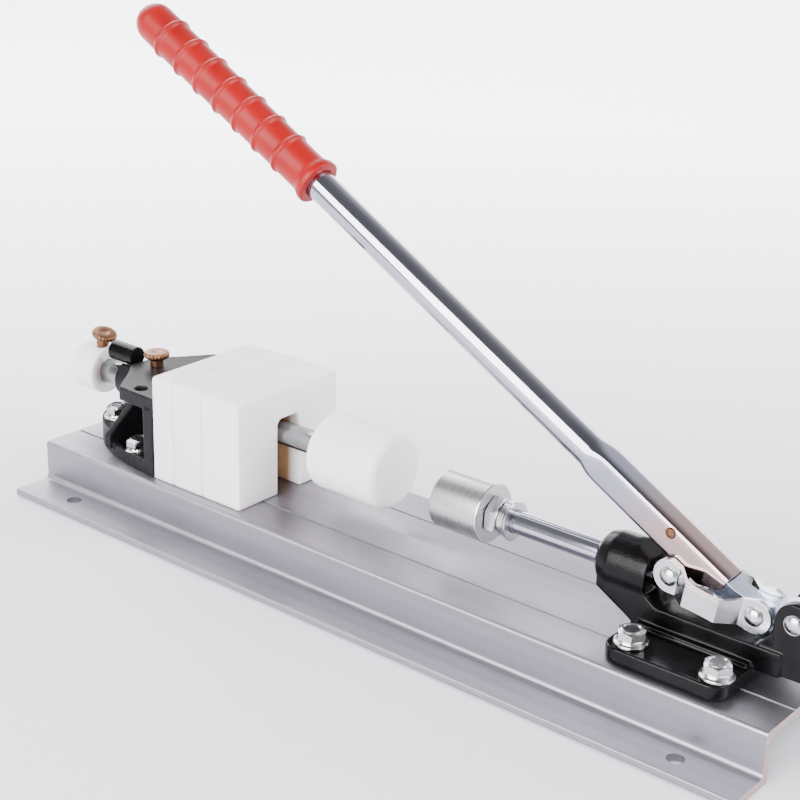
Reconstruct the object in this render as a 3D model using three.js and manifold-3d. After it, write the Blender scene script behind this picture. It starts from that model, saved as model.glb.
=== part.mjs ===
// Hand-lever push press on an aluminium hat rail: a push-pull toggle clamp at the right end drives
// a pressure head along X towards a nylon-tipped push rod, which slides in a cast end bracket
// behind three lift-off nylon spacer blocks.
// Millimetres, +Z up, X along the rail with the clamp at +X, Z = 0 at the underside of the rail's feet.

import * as THREE from 'three';
import { mergeVertices } from 'three/addons/utils/BufferGeometryUtils.js';
import Module from 'manifold-3d';

const wasm = await Module();
wasm.setup();

// ---------------------------------------------------------------- driving dimensions

const GAP = 0.3;                       // running gap between neighbouring pieces
const ROUND = 24;                      // facets around a turned piece
const SMALL_ROUND = 14;                // facets around a small pin, bolt or hole

const RAIL_LENGTH = 500;
const RAIL_TOP_WIDTH = 96;
const RAIL_WIDTH = 146;
const RAIL_HEIGHT = 28.2;
const RAIL_WALL = 4;
const RAIL_GROOVE_Y = 22;
const FOOT_HOLE_X = 211.5;
const FOOT_HOLE_Y = 60;
const DECK = RAIL_HEIGHT + GAP;        // where everything stands on the rail

const BLOCK_FACES = [-159.5, -142.5, -119, -89];   // the faces between which the three slabs lie
const BLOCK_HALF_WIDTH = 41.6;
const BLOCK_TOP = 92.5;
const NOTCH_HALF_WIDTH = 9.2;
const NOTCH_TOP = 75;

const ROD_Z = 63.8;                    // axis of the push rod
const ROD_RADIUS = 7;
const ROD_LEFT = -262;
const ROD_RIGHT = -14;
const CAP = { left: -264.5, right: -245, radius: 15 };
const HEAD = { left: -58, right: -8, radius: 22 };
const STOP_PIN = { x: -67, radius: 1.8, proud: 0.5 };

const BRACKET_RIGHT = -160;            // back face of the bracket, against the first block
const BRACKET_LENGTH = 79;
const BRACKET_HALF_WIDTH = 41.8;
const BRACKET_FLOOR = 34.5;
const BRACKET_RIM = 37;
const BRACKET_HEEL = { right: -207, top: 43 };   // solid left end under the first pair of bolts
const BRACKET_PLATE = { bottom: 69.5, top: 78 };
const BRACKET_BOLTS = [
  { x: -220, y: 15, seat: BRACKET_HEEL.top },
  { x: -186, y: 29, seat: BRACKET_FLOOR },
];
const BARREL = { left: -238.5, right: -217, z: 79.5, radius: 6.2 };
const BRACKET_SCREW_X = -200;
const CAP_SCREW = { x: -250, z: 80, tilt: THREE.MathUtils.degToRad(18) };

const PLUNGER_Z = 60;                  // axis of the toggle clamp's plunger
const PLUNGER_RADIUS = 6.35;
const PLUNGER_LEFT = 36;
const PLUNGER_RIGHT = 179.5;
const PRESSURE_HEAD = { left: 27.5, right: 59, radius: 16.5 };

const CLAMP_BASE = { left: 155, right: 222, halfWidth: 43, top: 36.5 };
const CLAMP_BOLT_X = [167, 214];
const CLAMP_BOLT_Y = 32.5;
const NOSE = { left: 129.5, right: 161, radius: 15.3 };
const DECK_TOP = 48;                   // top of the clamp body behind the nose
const DECK_HALF_WIDTH = 14;
const LUG = { inner: 6.3, outer: 12.6, radius: 10 };

const PIVOT = { x: 240, z: 65 };       // handle pivot in the rear lugs
const LINK_PIVOT = { x: 218, z: 60 };  // links to lever
const DRIVE_PIVOT = { x: 172.6, z: 66.4 };   // links to plunger
const LINK_REACH = Math.hypot(LINK_PIVOT.x - DRIVE_PIVOT.x, LINK_PIVOT.z - DRIVE_PIVOT.z);
const PIN_RADIUS = 3.2;
const PIN_HEAD_RADIUS = 5;

const LINK = { driveEnd: 8.4, middle: 15.4, leverEnd: 6.3, thickness: 3.2, endRadius: 9 };
const LEVER_HALF_THICKNESS = 6;

const HANDLE_ANGLE = THREE.MathUtils.degToRad(29.4);   // slope of the handle, rising towards -X
const HANDLE_DROP = 19.4;              // handle axis below the pivot, square to the handle
const TUBE = { mouth: -37, flatEnd: -118, roundStart: -132, end: -489, radius: 8.5, wall: 1.5 };
const RIVET = { x: -72.5, radius: 2.6, rise: 4 };   // rise above the handle axis
const GRIP = { start: -342, end: -497, radius: 11.4, ribRadius: 12.6, flangeRadius: 13.4, ribs: 7 };

// ---------------------------------------------------------------- solids from three.js geometry

const AXIS_X = new THREE.Vector3(1, 0, 0);
const AXIS_Y = new THREE.Vector3(0, 1, 0);
const AXIS_Z = new THREE.Vector3(0, 0, 1);
const MINUS_Y = new THREE.Vector3(0, -1, 0);
const MINUS_Z = new THREE.Vector3(0, 0, -1);

// Each basis says where a geometry's own x, y and z axes go.
const PROFILE_TO_X = new THREE.Matrix4().makeBasis(AXIS_Y, AXIS_Z, AXIS_X);
const PROFILE_TO_Y = new THREE.Matrix4().makeBasis(AXIS_X, AXIS_Z, MINUS_Y);
const LATHE_TO_X = new THREE.Matrix4().makeBasis(AXIS_Y, AXIS_X, MINUS_Z);
const LATHE_TO_Z = new THREE.Matrix4().makeBasis(AXIS_X, AXIS_Z, MINUS_Y);

function signedVolume(positions, indices) {
  const a = new THREE.Vector3();
  const b = new THREE.Vector3();
  const c = new THREE.Vector3();
  let total = 0;
  for (let i = 0; i < indices.length; i += 3) {
    a.fromArray(positions, 3 * indices[i]);
    b.fromArray(positions, 3 * indices[i + 1]);
    c.fromArray(positions, 3 * indices[i + 2]);
    total += a.dot(b.cross(c)) / 6;
  }
  return total;
}

// Merge the shared vertices, drop slivers and make the faces point outwards.
function solidOf(geometry) {
  const bare = geometry.clone();
  bare.deleteAttribute('normal');
  bare.deleteAttribute('uv');
  const merged = mergeVertices(bare, 1e-4);
  const vertProperties = new Float32Array(merged.attributes.position.array);
  const all = merged.index.array;
  const kept = [];
  for (let i = 0; i < all.length; i += 3) {
    const [a, b, c] = [all[i], all[i + 1], all[i + 2]];
    if (a !== b && b !== c && c !== a) kept.push(a, b, c);
  }
  if (signedVolume(vertProperties, kept) < 0) kept.reverse();
  const triVerts = new Uint32Array(kept);
  return new wasm.Manifold(new wasm.Mesh({ numProp: 3, vertProperties, triVerts }));
}

function geometryOf(solid) {
  const mesh = solid.getMesh();
  const geometry = new THREE.BufferGeometry();
  geometry.setAttribute('position', new THREE.BufferAttribute(new Float32Array(mesh.vertProperties), 3));
  geometry.setIndex(new THREE.BufferAttribute(new Uint32Array(mesh.triVerts), 1));
  geometry.computeVertexNormals();
  return geometry;
}

function unite(first, ...others) {
  return others.reduce((whole, piece) => whole.add(piece), first);
}

function cut(body, ...tools) {
  return tools.reduce((whole, tool) => whole.subtract(tool), body);
}

function outline(points) {
  return new THREE.Shape(points.map(([a, b]) => new THREE.Vector2(a, b)));
}

function extruded(shape, from, to, basis, curveSegments = 8) {
  const geometry = new THREE.ExtrudeGeometry(shape, { depth: to - from, bevelEnabled: false, curveSegments });
  geometry.translate(0, 0, from);
  if (basis) geometry.applyMatrix4(basis);
  return solidOf(geometry);
}

// A (y, z) outline run along X, an (x, z) outline along Y, and an (x, y) outline along Z.
const alongX = (shape, from, to, segments) => extruded(shape, from, to, PROFILE_TO_X, segments);
const alongY = (shape, from, to, segments) => extruded(shape, -to, -from, PROFILE_TO_Y, segments);
const alongZ = (shape, from, to, segments) => extruded(shape, from, to, null, segments);

function box(x0, x1, y0, y1, z0, z1) {
  const geometry = new THREE.BoxGeometry(x1 - x0, y1 - y0, z1 - z0);
  geometry.translate((x0 + x1) / 2, (y0 + y1) / 2, (z0 + z1) / 2);
  return solidOf(geometry);
}

// A profile of [distance along the axis, radius] pairs turned about X, or about Z.
function turned(profile, basis, at, facets) {
  const points = profile.map(([along, radius]) => new THREE.Vector2(radius, along));
  const geometry = new THREE.LatheGeometry(points, facets);
  geometry.applyMatrix4(basis);
  geometry.translate(...at);
  return solidOf(geometry);
}

const turnedX = (profile, y, z, facets = ROUND) => turned(profile, LATHE_TO_X, [0, y, z], facets);
const turnedZ = (profile, x, y, facets = ROUND) => turned(profile, LATHE_TO_Z, [x, y, 0], facets);

function rodX(radius, from, to, y, z, facets = SMALL_ROUND) {
  return turnedX([[from, 0], [from, radius], [to, radius], [to, 0]], y, z, facets);
}

function rodZ(radius, from, to, x, y, facets = SMALL_ROUND) {
  return turnedZ([[from, 0], [from, radius], [to, radius], [to, 0]], x, y, facets);
}

function rodY(radius, from, to, x, z, facets = SMALL_ROUND) {
  const geometry = new THREE.CylinderGeometry(radius, radius, to - from, facets);
  geometry.translate(x, (from + to) / 2, z);
  return solidOf(geometry);
}

const hexRadius = (acrossFlats) => acrossFlats / Math.sqrt(3);

function roundedRectangle(x0, x1, y0, y1, radius) {
  const shape = new THREE.Shape();
  shape.moveTo(x0 + radius, y0);
  shape.lineTo(x1 - radius, y0);
  shape.absarc(x1 - radius, y0 + radius, radius, -Math.PI / 2, 0);
  shape.lineTo(x1, y1 - radius);
  shape.absarc(x1 - radius, y1 - radius, radius, 0, Math.PI / 2);
  shape.lineTo(x0 + radius, y1);
  shape.absarc(x0 + radius, y1 - radius, radius, Math.PI / 2, Math.PI);
  shape.lineTo(x0, y0 + radius);
  shape.absarc(x0 + radius, y0 + radius, radius, Math.PI, 1.5 * Math.PI);
  return shape;
}

// ---------------------------------------------------------------- materials

function finish(color, roughness, metalness) {
  return new THREE.MeshStandardMaterial({ color, roughness, metalness });
}

const MATERIALS = {
  aluminium: finish(0xbcbcc2, 0.42, 1),
  castBlack: finish(0x2f3033, 0.45, 0.1),
  glossBlack: finish(0x0c0c0e, 0.2, 0.1),
  zinc: finish(0xd3d6da, 0.25, 1),
  chrome: finish(0xdadce0, 0.1, 1),
  lever: finish(0xb9c4d8, 0.25, 1),
  nylon: finish(0xf1edea, 0.5, 0),
  brass: finish(0xc99a64, 0.3, 1),
  vinyl: finish(0xde3a3c, 0.45, 0),
};

// ---------------------------------------------------------------- rail

function railProfile() {
  const foot = RAIL_WIDTH / 2;
  const top = RAIL_TOP_WIDTH / 2;
  const inner = top - RAIL_WALL;
  const under = RAIL_HEIGHT - RAIL_WALL;
  const corner = 1.5;
  const grooveWidth = 2.4;
  const grooveDepth = 0.8;
  const groove = (y) => [
    [y + grooveWidth / 2, RAIL_HEIGHT],
    [y + grooveWidth / 2, RAIL_HEIGHT - grooveDepth],
    [y - grooveWidth / 2, RAIL_HEIGHT - grooveDepth],
    [y - grooveWidth / 2, RAIL_HEIGHT],
  ];
  return outline([
    [-foot, 0], [-inner, 0], [-inner, under], [inner, under], [inner, 0], [foot, 0],
    [foot, RAIL_WALL], [top, RAIL_WALL], [top, RAIL_HEIGHT - corner], [top - corner, RAIL_HEIGHT],
    ...groove(RAIL_GROOVE_Y), ...groove(-RAIL_GROOVE_Y),
    [-top + corner, RAIL_HEIGHT], [-top, RAIL_HEIGHT - corner], [-top, RAIL_WALL], [-foot, RAIL_WALL],
  ]);
}

function rail() {
  const footHoles = [-1, 1].flatMap((sx) => [-1, 1].map(
    (sy) => rodZ(4.5, -1, RAIL_WALL + 1, sx * FOOT_HOLE_X, sy * FOOT_HOLE_Y)));
  const boltHoles = boltPlaces().map(({ x, y }) => rodZ(4.5, 10, RAIL_HEIGHT + 1, x, y));
  return cut(alongX(railProfile(), -RAIL_LENGTH / 2, RAIL_LENGTH / 2), ...footHoles, ...boltHoles);
}

// ---------------------------------------------------------------- fasteners through the rail

function boltPlaces() {
  const bracket = BRACKET_BOLTS.flatMap(({ x, y, seat }) => [
    { name: 'bracket_bolt', x, y: -y, seat },
    { name: 'bracket_bolt', x, y, seat },
  ]);
  const clamp = CLAMP_BOLT_X.flatMap((x) => [
    { name: 'clamp_bolt', x, y: -CLAMP_BOLT_Y, seat: CLAMP_BASE.top },
    { name: 'clamp_bolt', x, y: CLAMP_BOLT_Y, seat: CLAMP_BASE.top },
  ]);
  return [...bracket, ...clamp];
}

// M8 flange bolt, its head standing on the seat and its shank reaching below the nut.
function flangeBolt({ x, y, seat }) {
  const foot = seat + GAP;
  const flange = turnedZ([[foot, 0], [foot, 8.8], [foot + 1.2, 8.8],
    [foot + 2.2, 7], [foot + 2.2, 0]], x, y, 18);
  const hex = turnedZ([[foot + 1, 0], [foot + 1, hexRadius(13)], [foot + 7.4, hexRadius(13)],
    [foot + 8.2, 6.2], [foot + 8.2, 0]], x, y, 6);
  const shank = rodZ(4, 14, foot + 1, x, y, 12);
  return unite(hex, flange, shank);
}

function flangeNut({ x, y }) {
  const seat = RAIL_HEIGHT - RAIL_WALL - GAP;
  const flange = rodZ(8.6, seat - 1.8, seat, x, y, 18);
  const hex = rodZ(hexRadius(13), seat - 8, seat - 1, x, y, 6);
  return cut(unite(hex, flange), rodZ(4 + GAP, 10, seat + 1, x, y, 12));
}

// ---------------------------------------------------------------- nylon spacer blocks

// An inverted U that drops over the push rod, with soft outer edges.
function spacerBlock(left, right) {
  const [x0, x1] = [left + GAP / 2, right - GAP / 2];
  const front = roundedRectangle(-BLOCK_HALF_WIDTH, BLOCK_HALF_WIDTH, DECK, BLOCK_TOP, 2.5);
  const fromAbove = roundedRectangle(x0, x1, -BLOCK_HALF_WIDTH, BLOCK_HALF_WIDTH, 1.5);
  const slot = roundedRectangle(-NOTCH_HALF_WIDTH, NOTCH_HALF_WIDTH, 0, NOTCH_TOP, 4);
  const slab = alongX(front, x0, x1, 3);
  const plan = alongZ(fromAbove, 0, 200, 3);
  const notch = alongX(slot, left - 1, right + 1, 4);
  return cut(slab.intersect(plan), notch);
}

// ---------------------------------------------------------------- push rod

function pushRod() {
  const bevel = 1;
  const rod = turnedX([[ROD_LEFT, 0], [ROD_LEFT, ROD_RADIUS - bevel], [ROD_LEFT + bevel, ROD_RADIUS],
    [ROD_RIGHT - bevel, ROD_RADIUS], [ROD_RIGHT, ROD_RADIUS - bevel], [ROD_RIGHT, 0]], 0, ROD_Z);
  return cut(rod, rodZ(STOP_PIN.radius + GAP, 0, 100, STOP_PIN.x, 0, 12));
}

function stopPin() {
  const reach = ROD_RADIUS + STOP_PIN.proud;
  return rodZ(STOP_PIN.radius, ROD_Z - reach, ROD_Z + reach, STOP_PIN.x, 0, 12);
}

function roundedTurning({ left, right, radius }, edge) {
  const steps = 3;
  const profile = [[left, 0]];
  for (let i = 0; i <= steps; i += 1) {
    const turn = (i / steps) * Math.PI / 2;
    profile.push([left + edge * (1 - Math.cos(turn)), radius - edge * (1 - Math.sin(turn))]);
  }
  for (let i = 0; i <= steps; i += 1) {
    const turn = (i / steps) * Math.PI / 2;
    profile.push([right - edge * (1 - Math.sin(turn)), radius - edge * (1 - Math.cos(turn))]);
  }
  profile.push([right, 0]);
  return profile;
}

function pushHead() {
  const head = turnedX(roundedTurning(HEAD, 4.5), 0, ROD_Z, 36);
  return cut(head, rodX(ROD_RADIUS + GAP, HEAD.left - 1, ROD_RIGHT + GAP, 0, ROD_Z));
}

function pushCap() {
  const cap = turnedX(roundedTurning(CAP, 1.8), 0, ROD_Z);
  const bore = rodX(ROD_RADIUS + GAP, ROD_LEFT - GAP, CAP.right + 1, 0, ROD_Z);
  return cut(cap, bore, tiltedOnCap(rodAlongScrew(3.3, -12, 6)));
}

// ---------------------------------------------------------------- thumb screws

function rodAlongScrew(radius, from, to) {
  const geometry = new THREE.CylinderGeometry(radius, radius, to - from, SMALL_ROUND);
  geometry.rotateX(Math.PI / 2);
  geometry.translate(0, 0, (from + to) / 2);
  return geometry;
}

function tiltedOnCap(geometry) {
  geometry.rotateY(CAP_SCREW.tilt);
  geometry.translate(CAP_SCREW.x, 0, CAP_SCREW.z);
  return solidOf(geometry);
}

// Wide scalloped head over a neck, on a plain stem, about its own Z axis with the seat at 0.
function thumbScrewGeometry(stemBottom) {
  const profile = [[stemBottom, 0], [stemBottom, 3], [0.4, 3], [0.4, 4], [4.3, 4.2], [5.8, 7.6],
    [8.4, 7.9], [9.2, 7.2], [9.4, 0]];
  const points = profile.map(([along, radius]) => new THREE.Vector2(radius, along));
  const geometry = new THREE.LatheGeometry(points, 20);
  geometry.applyMatrix4(LATHE_TO_Z);
  return geometry;
}

function capScrew() {
  return tiltedOnCap(thumbScrewGeometry(-8.2));
}

function bracketScrew() {
  const geometry = thumbScrewGeometry(-BRACKET_PLATE.top + ROD_Z + ROD_RADIUS + GAP);
  geometry.translate(BRACKET_SCREW_X, 0, BRACKET_PLATE.top);
  return solidOf(geometry);
}

// ---------------------------------------------------------------- end bracket

function halfEllipse(inset) {
  const shape = new THREE.Shape();
  shape.absellipse(BRACKET_RIGHT, 0, BRACKET_LENGTH - inset, BRACKET_HALF_WIDTH - inset,
    Math.PI / 2, 1.5 * Math.PI, false);
  shape.closePath();
  return shape;
}

function endBracket() {
  const wallThickness = 8;
  const rimThickness = 4.5;
  const wall = BRACKET_RIGHT - wallThickness;
  const { bottom, top } = BRACKET_PLATE;
  const floor = alongZ(halfEllipse(0), DECK, BRACKET_FLOOR, 20);
  const rim = cut(alongZ(halfEllipse(0), DECK, BRACKET_RIM, 20),
    alongZ(halfEllipse(rimThickness), BRACKET_FLOOR, BRACKET_RIM + 1, 20));
  const backWall = box(wall, BRACKET_RIGHT, -BRACKET_HALF_WIDTH, BRACKET_HALF_WIDTH, DECK, bottom + 1);
  const plate = alongZ(outline([
    [BRACKET_RIGHT, 41], [-190, 40], [-204, 20], [-213, 10],
    [-213, -10], [-204, -20], [-190, -40], [BRACKET_RIGHT, -41],
  ]), bottom, top);
  const boss = rodX(11.5, -227, BRACKET_RIGHT, 0, ROD_Z, 28);
  const spine = box(-222, BRACKET_RIGHT, -7, 7, BRACKET_FLOOR - 1, ROD_Z);
  const ribs = [-1, 1].map((side) => alongX(
    outline([[side * 6, BRACKET_FLOOR - 1], [side * 38, BRACKET_FLOOR - 1], [side * 38, 42], [side * 6, 66]]),
    -207, -202));
  const heel = cut(alongZ(halfEllipse(0), DECK, BRACKET_HEEL.top, 20),
    box(BRACKET_HEEL.right, BRACKET_RIGHT + 1, -BRACKET_HALF_WIDTH - 1, BRACKET_HALF_WIDTH + 1, 0, 100));
  const body = unite(floor, rim, heel, backWall, plate, boss, spine, ...ribs);
  const bore = rodX(ROD_RADIUS + GAP, -240, BRACKET_RIGHT + 1, 0, ROD_Z, ROUND);
  const saddle = rodX(BARREL.radius + GAP, BARREL.left, BARREL.right + GAP, 0, BARREL.z, ROUND);
  const boltHoles = boltPlaces().filter(({ name }) => name === 'bracket_bolt').map(
    ({ x, y }) => rodZ(4.5, DECK - 1, 50, x, y));
  const spotFaces = boltPlaces().filter(({ name }) => name === 'bracket_bolt').map(
    ({ x, y, seat }) => rodZ(9.2, seat, seat + 8.8, x, y, 24));
  const screwHole = rodZ(3 + GAP, ROD_Z, top + 1, BRACKET_SCREW_X, 0);
  const plateHoles = [-1, 1].map((side) => rodZ(4, bottom - 1, top + 1, -178, side * 33));
  return cut(body, bore, saddle, screwHole, ...spotFaces, ...boltHoles, ...plateHoles);
}

function bracketBarrel() {
  return turnedX(roundedTurning(BARREL, 0.8), 0, BARREL.z);
}

// ---------------------------------------------------------------- toggle clamp body

function clampBase() {
  const { left, right, halfWidth, top } = CLAMP_BASE;
  return alongZ(roundedRectangle(left, right, -halfWidth, halfWidth, 9), DECK, top, 6);
}

function clampBody() {
  const nose = turnedX([[NOSE.left, 0], [NOSE.left, NOSE.radius - 4.5], [NOSE.left + 2.5, NOSE.radius - 1.6],
    [NOSE.left + 8, NOSE.radius], [NOSE.right, NOSE.radius], [NOSE.right, 0]], 0, PLUNGER_Z, 32);
  const web = alongY(outline([
    [133, 49], [156.5, CLAMP_BASE.top - 1], [236, CLAMP_BASE.top - 1], [236, DECK_TOP], [168, DECK_TOP],
    [NOSE.right, 53], [NOSE.right, PLUNGER_Z], [133, PLUNGER_Z],
  ]), -DECK_HALF_WIDTH, DECK_HALF_WIDTH);
  const skirt = alongY(outline([
    [157, CLAMP_BASE.top - 1], [221, CLAMP_BASE.top - 1], [221, 39], [160, 39],
  ]), -DECK_HALF_WIDTH - 3, DECK_HALF_WIDTH + 3);
  const lugShape = new THREE.Shape();
  lugShape.moveTo(222, CLAMP_BASE.top);
  lugShape.lineTo(247, CLAMP_BASE.top);
  lugShape.lineTo(PIVOT.x + LUG.radius, 46);
  lugShape.absarc(PIVOT.x, PIVOT.z, LUG.radius, 0, Math.PI);
  lugShape.lineTo(229, 56);
  lugShape.lineTo(222, DECK_TOP);
  const lugs = [-1, 1].map((side) => alongY(lugShape,
    Math.min(side * LUG.inner, side * LUG.outer), Math.max(side * LUG.inner, side * LUG.outer), 14));
  const heel = box(230, 249, -LUG.outer + 1, LUG.outer - 1, CLAMP_BASE.top, DECK_TOP - 2);
  const body = unite(clampBase(), nose, web, skirt, ...lugs, heel);
  const shoulder = alongY(outline([
    [148, 80], [148, 75.5], [NOSE.right + 1, 70], [NOSE.right + 1, 80],
  ]), -20, 20);
  const bore = rodX(PLUNGER_RADIUS + GAP, NOSE.left - 1, 200, 0, PLUNGER_Z, ROUND);
  const pinHole = rodY(PIN_RADIUS + GAP, -20, 20, PIVOT.x, PIVOT.z);
  const boltHoles = boltPlaces().filter(({ name }) => name === 'clamp_bolt').map(
    ({ x, y }) => rodZ(4.5, DECK - 1, CLAMP_BASE.top + 1, x, y));
  return cut(body, shoulder, bore, pinHole, ...boltHoles);
}

// A pivot pin along Y with a domed head at each side.
function pivotPin({ x, z }, span) {
  const head = 2.6;
  const profile = [
    [-span - head, 0], [-span - head, 2.6], [-span - head + 1, 4.4], [-span - GAP, PIN_HEAD_RADIUS],
    [-span - GAP, PIN_RADIUS], [span + GAP, PIN_RADIUS],
    [span + GAP, PIN_HEAD_RADIUS], [span + head - 1, 4.4], [span + head, 2.6], [span + head, 0],
  ];
  const geometry = new THREE.LatheGeometry(
    profile.map(([along, radius]) => new THREE.Vector2(radius, along)), SMALL_ROUND);
  geometry.translate(x, 0, z);
  return solidOf(geometry);
}

// ---------------------------------------------------------------- plunger

function plunger() {
  const bevel = 0.8;
  const rod = turnedX([[PLUNGER_LEFT, 0], [PLUNGER_LEFT, PLUNGER_RADIUS - bevel],
    [PLUNGER_LEFT + bevel, PLUNGER_RADIUS], [PLUNGER_RIGHT, PLUNGER_RADIUS],
    [PLUNGER_RIGHT, 0]], 0, PLUNGER_Z);
  const pinReach = PIN_RADIUS + GAP;
  const hook = box(DRIVE_PIVOT.x + 1, PLUNGER_RIGHT - 1, -5, 5, PLUNGER_Z, DRIVE_PIVOT.z - 1.5);
  const seat = box(DRIVE_PIVOT.x - 16, DRIVE_PIVOT.x, -10, 10, DRIVE_PIVOT.z - pinReach, DRIVE_PIVOT.z + 20);
  return cut(unite(rod, hook), seat, rodY(pinReach, -20, 20, DRIVE_PIVOT.x, DRIVE_PIVOT.z));
}

function pressureHead() {
  const { left, right, radius } = PRESSURE_HEAD;
  const edge = 1;
  const head = turnedX([[left, 0], [left, radius - edge], [left + edge, radius],
    [right - edge, radius], [right, radius - edge], [right, 0]], 0, PLUNGER_Z, 36);
  return cut(head, rodX(PLUNGER_RADIUS + GAP, PLUNGER_LEFT - GAP, right + 1, 0, PLUNGER_Z, ROUND));
}

// A hexagonal or round ring threaded on the plunger.
function plungerRing(outerRadius, from, to, facets) {
  return cut(rodX(outerRadius, from, to, 0, PLUNGER_Z, facets),
    rodX(PLUNGER_RADIUS + GAP, from - 1, to + 1, 0, PLUNGER_Z, ROUND));
}

// ---------------------------------------------------------------- links

// One joggled steel strap: close to the lever at both pivots and flared out between them.
function link(side) {
  const reach = LINK_REACH;
  const { driveEnd, middle, leverEnd, thickness, endRadius } = LINK;
  const path = [
    [-endRadius, driveEnd], [5, driveEnd], [12.5, middle],
    [reach - 15, middle], [reach - 7, leverEnd], [reach + endRadius, leverEnd],
  ];
  const outer = path.map(([x, y]) => [x, y + thickness]).reverse();
  const plan = alongZ(outline([...path, ...outer].map(([x, y]) => [x, side * y])), -30, 30);
  const face = new THREE.Shape();
  face.absarc(0, 0, endRadius, Math.PI / 2, 1.5 * Math.PI);
  face.quadraticCurveTo(reach / 2, -6, reach, -endRadius);
  face.absarc(reach, 0, endRadius, -Math.PI / 2, Math.PI / 2);
  face.quadraticCurveTo(reach / 2, -1, 0, endRadius);
  const straight = plan.intersect(alongY(face, -40, 40, 8));
  const holes = [0, reach].map((x) => rodY(PIN_RADIUS + GAP, -40, 40, x, 0));
  return cut(straight, ...holes);
}

// ---------------------------------------------------------------- handle, in its own frame:
// origin at the handle pivot, x along the handle towards the pivot, z square to it.

const LINK_PIVOT_ON_HANDLE = new THREE.Vector3(LINK_PIVOT.x - PIVOT.x, 0, LINK_PIVOT.z - PIVOT.z)
  .applyAxisAngle(AXIS_Y, -HANDLE_ANGLE);

function lever() {
  const { x: bx, z: bz } = LINK_PIVOT_ON_HANDLE;
  const tangTop = -HANDLE_DROP + 5.1;
  const tangBottom = -HANDLE_DROP - 5.1;
  const tangEnd = TUBE.mouth - 46;
  const shape = new THREE.Shape();
  shape.moveTo(tangEnd, tangBottom);
  shape.lineTo(TUBE.mouth, tangBottom);
  shape.lineTo(bx - 3, bz - 8.5);
  shape.quadraticCurveTo(bx + 6, bz - 9.5, bx + 10, bz - 1);
  shape.lineTo(3, -8);
  shape.absarc(0, 0, 8.5, -0.38 * Math.PI, 0.75 * Math.PI);
  shape.quadraticCurveTo(-11, -4, bx, -8.6);
  shape.quadraticCurveTo(-25, -14.5, TUBE.mouth, tangTop);
  shape.lineTo(tangEnd, tangTop);
  const plate = alongY(shape, -LEVER_HALF_THICKNESS, LEVER_HALF_THICKNESS, 7);
  const holes = [rodY(PIN_RADIUS + GAP, -20, 20, 0, 0), rodY(PIN_RADIUS + GAP, -20, 20, bx, bz), rivetHole()];
  return cut(plate, ...holes);
}

function rivetHole() {
  return rodY(RIVET.radius + GAP, -20, 20, RIVET.x, -HANDLE_DROP + RIVET.rise);
}

// Cross-section of the tube as a superellipse: squareness 2 is round, larger is squarer.
function tubeRing(x, halfWidth, halfHeight, squareness, facets) {
  const ring = [];
  for (let i = 0; i < facets; i += 1) {
    const turn = (i / facets) * 2 * Math.PI;
    const [c, s] = [Math.cos(turn), Math.sin(turn)];
    const y = Math.sign(c) * Math.abs(c) ** (2 / squareness) * halfWidth;
    const z = Math.sign(s) * Math.abs(s) ** (2 / squareness) * halfHeight;
    ring.push(new THREE.Vector3(x, y, z - HANDLE_DROP));
  }
  return ring;
}

// Skin over a list of rings, closed between the last ring and the first, as a hollow tube is.
function closedSkin(rings) {
  const facets = rings[0].length;
  const positions = [];
  const index = [];
  for (const ring of rings) for (const point of ring) positions.push(point.x, point.y, point.z);
  for (let r = 0; r < rings.length; r += 1) {
    const next = (r + 1) % rings.length;
    for (let i = 0; i < facets; i += 1) {
      const j = (i + 1) % facets;
      const [a, b, c, d] = [r * facets + i, r * facets + j, next * facets + j, next * facets + i];
      index.push(a, b, c, a, c, d);
    }
  }
  const geometry = new THREE.BufferGeometry();
  geometry.setAttribute('position', new THREE.Float32BufferAttribute(positions, 3));
  geometry.setIndex(index);
  return solidOf(geometry);
}

function handleTube() {
  const facets = 28;
  const { mouth, flatEnd, roundStart, end, radius, wall } = TUBE;
  const stations = [[mouth, 8, radius, 5], [flatEnd, 8, radius, 5], [roundStart, radius, radius, 2],
    [end, radius, radius, 2]];
  const outer = stations.map(([x, w, h, n]) => tubeRing(x, w, h, n, facets));
  const inner = stations.map(([x, w, h, n]) => tubeRing(x, w - wall, h - wall, n, facets)).reverse();
  const below = -HANDLE_DROP - radius - 1;
  const slantedMouth = alongY(outline([
    [mouth + 1, -HANDLE_DROP + 1], [mouth - 14, below], [mouth + 1, below],
  ]), -20, 20);
  return cut(closedSkin([...outer, ...inner]), rivetHole(), slantedMouth);
}

function handleRivet() {
  return rodY(RIVET.radius, -8.6, 8.6, RIVET.x, -HANDLE_DROP + RIVET.rise);
}

function handleGrip() {
  const { start, end, radius, ribRadius, flangeRadius, ribs } = GRIP;
  const pitch = 17.2;
  const profile = [[start, 0], [start, flangeRadius], [start - 4, flangeRadius], [start - 7, radius]];
  for (let i = 1; i <= ribs; i += 1) {
    const x = start - 8.5 - i * pitch;
    profile.push([x + 2.5, radius], [x, ribRadius], [x - 2.5, radius]);
  }
  const domeSteps = 4;
  for (let i = 0; i <= domeSteps; i += 1) {
    const turn = (i / domeSteps) * Math.PI / 2;
    profile.push([end + radius * (1 - Math.sin(turn)), radius * Math.cos(turn)]);
  }
  profile[profile.length - 1][1] = 0;
  const skin = turnedX(profile, 0, -HANDLE_DROP, 22);
  return cut(skin, rodX(TUBE.radius + GAP, TUBE.end - GAP, start + 1, 0, -HANDLE_DROP, ROUND));
}

// ---------------------------------------------------------------- assembly

const press = new THREE.Group();
press.position.x = -(CAP.left + PIVOT.x + LUG.radius) / 2;   // centres the overall length on X = 0

function place(parent, name, solid, material) {
  const mesh = new THREE.Mesh(geometryOf(solid), material);
  mesh.name = name;
  parent.add(mesh);
}

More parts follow.
